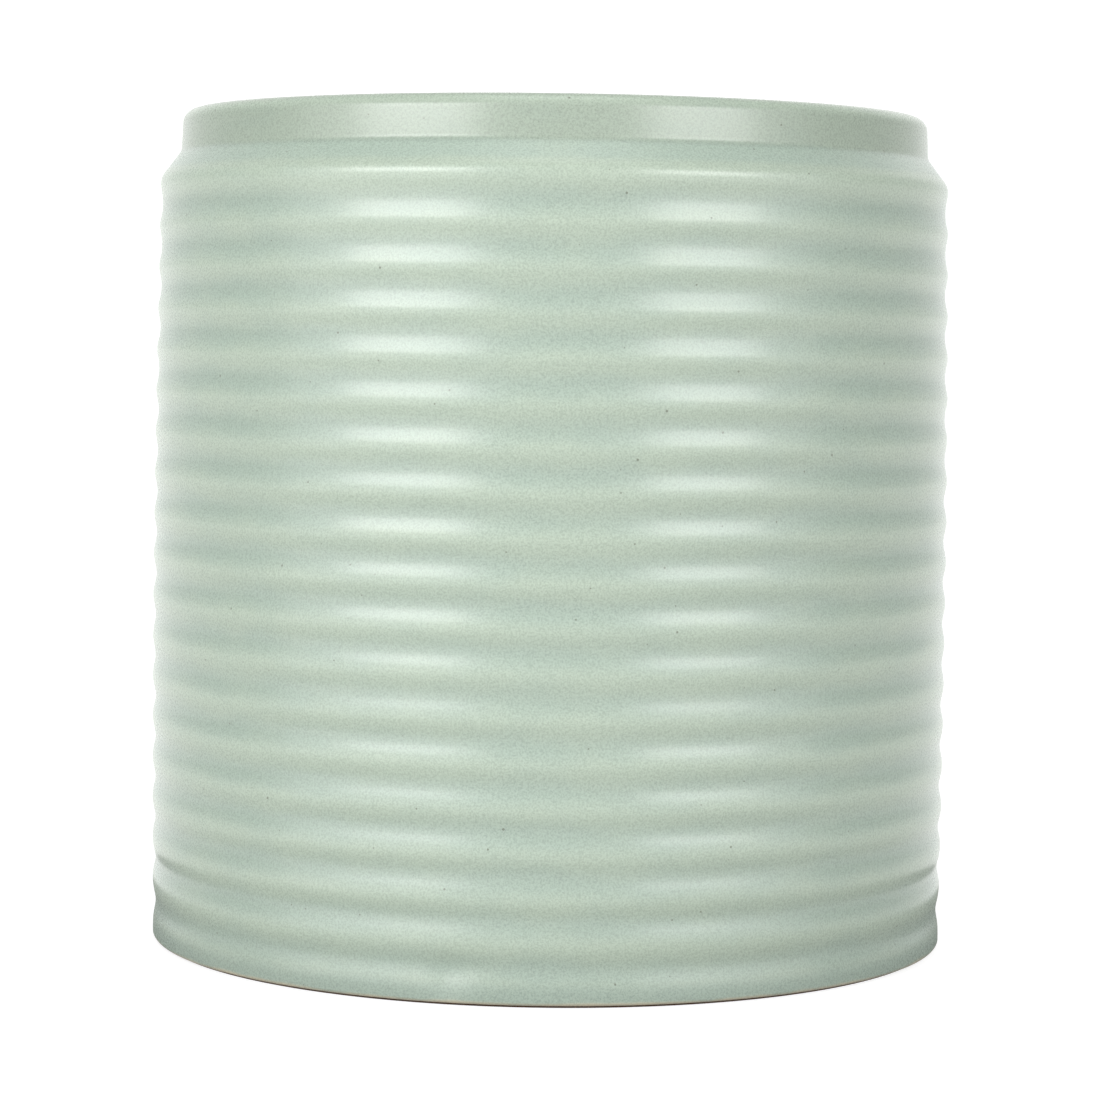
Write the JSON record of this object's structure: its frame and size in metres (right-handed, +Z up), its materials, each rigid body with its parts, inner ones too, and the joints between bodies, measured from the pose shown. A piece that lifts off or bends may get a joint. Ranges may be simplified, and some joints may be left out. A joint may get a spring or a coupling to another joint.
{
  "type": "brush holder pot",
  "caption": "Round stoneware brush pot with a ribbed wall, stepped collar, rounded lip, deep open well and recessed base in a bare foot ring.",
  "frame": {"origin": "on the axis, in the plane that the foot ring stands on", "axes": "+Z up along the pot's axis of turning; the pot is round, so X and Y are any two directions at right angles"},
  "size_m": [0.117, 0.117, 0.121],
  "materials": {
    "fired_clay": "matte",
    "matte_celadon": "satin",
    "pooled_celadon": "satin"
  },
  "bodies": {
    "root": {"clay_body": "fired_clay", "outer_glaze": "matte_celadon", "well_glaze": "matte_celadon", "base_glaze": "pooled_celadon"}
  },
  "joints": []
}
